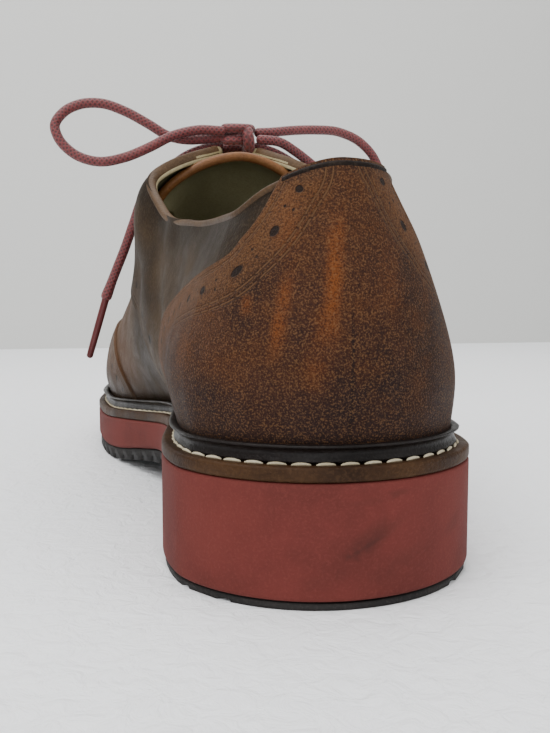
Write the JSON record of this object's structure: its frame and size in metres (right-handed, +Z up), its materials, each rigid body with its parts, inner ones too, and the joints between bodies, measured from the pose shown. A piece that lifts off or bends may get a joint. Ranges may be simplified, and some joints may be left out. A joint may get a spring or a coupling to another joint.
{
  "type": "wingtip oxford shoe",
  "caption": "Right leather wingtip lace-up shoe with a thick foam sole, stitched welt, storm rand, open collar and a bow-tied waxed lace.",
  "frame": {"origin": "on the floor, at the middle of the sole's length and width", "axes": "+Y from the heel to the toe, +Z up, +X towards the outer (lateral) side of this right shoe"},
  "size_m": [0.1274, 0.3012, 0.1313],
  "materials": {
    "tread": "matt black rubber",
    "midsole": "brick-red foam rubber, fine grain",
    "welt": "brown welt leather, satin",
    "rand": "near-black burnished leather",
    "insole": "olive lining leather",
    "upper": "waxed brown nubuck with rubbed tan streaks",
    "tongue": "brown leather, lined in olive",
    "lace": "round waxed cotton cord, red",
    "aglet": "brownish red, glossy tip of the lace"
  },
  "bodies": {
    "root": {"tread": "tread", "midsole": "midsole", "welt": "welt", "rand": "rand", "insole": "insole", "upper": "upper", "tongue": "tongue", "lace_bars": "lace", "lace_knot": "lace", "lace_loop_medial": "lace", "lace_loop_lateral": "lace", "lace_end_medial": "lace", "lace_end_lateral": "lace", "aglet_medial": "aglet", "aglet_lateral": "aglet"}
  },
  "joints": []
}
